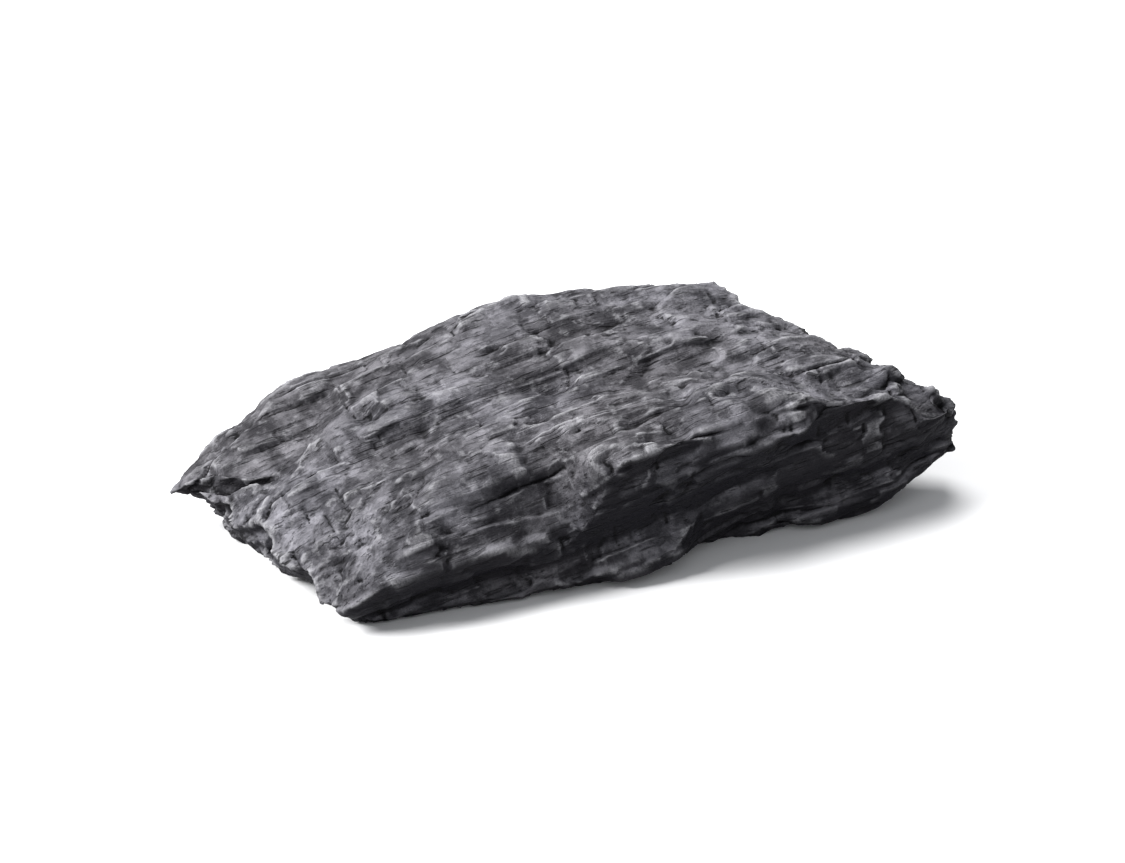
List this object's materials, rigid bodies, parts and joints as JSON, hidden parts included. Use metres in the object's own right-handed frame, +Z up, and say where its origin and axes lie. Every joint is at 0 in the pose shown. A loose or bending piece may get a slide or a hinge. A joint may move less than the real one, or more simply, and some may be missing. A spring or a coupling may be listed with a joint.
{
  "type": "charcoal lump",
  "caption": "Wedge-shaped slab of charcoal, split along the grain, with year ring ledges on its long faces, splintered ends, cracks and a flat spot to rest on.",
  "frame": {"origin": "middle of the bounding box seen from above, on the surface that the lump rests on", "axes": "+X along the wood's grain, towards the thick end; +Y across the grain, towards the back; +Z up"},
  "size_m": [0.0358, 0.016, 0.0076],
  "materials": {
    "charcoal": "matte"
  },
  "bodies": {
    "root": {"charcoal_lump": "charcoal"}
  },
  "joints": []
}
